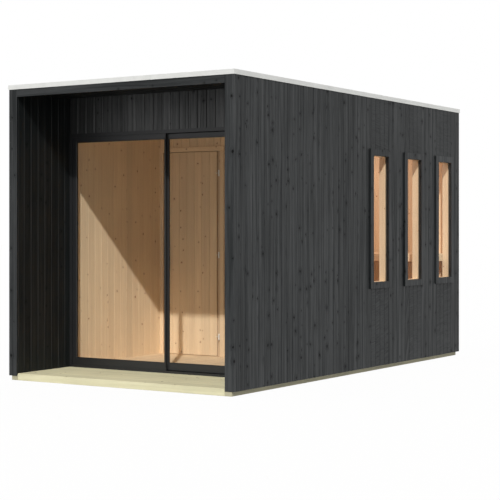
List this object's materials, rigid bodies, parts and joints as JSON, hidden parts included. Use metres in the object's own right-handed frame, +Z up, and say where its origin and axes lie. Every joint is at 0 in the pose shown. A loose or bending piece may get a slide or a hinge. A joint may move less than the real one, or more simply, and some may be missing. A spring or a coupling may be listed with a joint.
{
  "type": "garden sauna house",
  "caption": "Flat-roofed black timber sauna cabin with an open porch, a sliding glass front, a partition with an inner door, a bench and slim side windows.",
  "frame": {"origin": "on the ground at the middle of the house plan, under the cross beam below the partition", "axes": "+Z up, the sliding front and porch face -Y, the side windows face +X"},
  "size_m": [2.245, 4.106, 2.438],
  "materials": {
    "treated_timber": "pressure-treated softwood, planed, pale green-yellow",
    "floor_board": "planed spruce floor boards",
    "wall_core": "solid timber wall core, hidden",
    "black_cladding": "black-stained spruce boards with V joints",
    "light_lining": "untreated spruce lining boards",
    "light_joinery": "planed spruce joinery",
    "dark_handle": "turned hardwood",
    "black_frame": "matt black powder coat",
    "glass": "clear glass",
    "hinge_steel": "zinc-plated",
    "roof_felt": "dark mineral roofing felt",
    "roof_trim": "off-white coated sheet"
  },
  "bodies": {
    "house": {"side_beams": "treated_timber", "cross_beams": "treated_timber", "deck_joists": "treated_timber", "deck_front_board": "treated_timber", "deck_boards": "treated_timber", "room_floor": "floor_board", "left_wall": "wall_core", "right_wall": "wall_core", "rear_wall": "wall_core", "left_cladding": "black_cladding", "right_cladding": "black_cladding", "rear_cladding": "black_cladding", "porch_linings": "black_cladding", "end_boards": "black_cladding", "header_board": "black_cladding", "soffit": "black_cladding", "door_beam": "wall_core", "over_door_cladding": "black_cladding", "over_door_lining": "light_lining", "door_frame": "black_frame", "fixed_sash": "black_frame", "fixed_glass": "glass", "partition": "light_lining", "partition_over_door": "light_lining", "inner_door_frame": "light_joinery", "inner_door_hinges": "hinge_steel", "left_lining": "light_lining", "right_lining": "light_lining", "rear_lining": "light_lining", "ceiling": "light_lining", "window_frame_1": "black_frame", "window_frame_2": "black_frame", "window_frame_3": "black_frame", "window_panes": "glass", "window_linings": "light_lining", "bench": "light_joinery", "roof_slab": "roof_felt", "roof_edge": "roof_trim"},
    "sliding_door": {"sliding_sash": "black_frame", "sliding_glass": "glass", "sliding_handles": "black_frame"},
    "inner_door": {"inner_door_leaf": "light_joinery", "inner_hinge_wings": "hinge_steel", "inner_door_handles": "dark_handle"}
  },
  "joints": [
    {"name": "sliding_door_slide", "type": "slide", "parent": "house", "child": "sliding_door", "axis": [-1, 0, 0], "range_m": [0, 0.93]},
    {"name": "inner_door_hinge", "type": "hinge", "parent": "house", "child": "inner_door", "pos_m": [-0.3545, -0.05, 1], "axis": [0, 0, 1], "range_deg": [0, 110]}
  ]
}
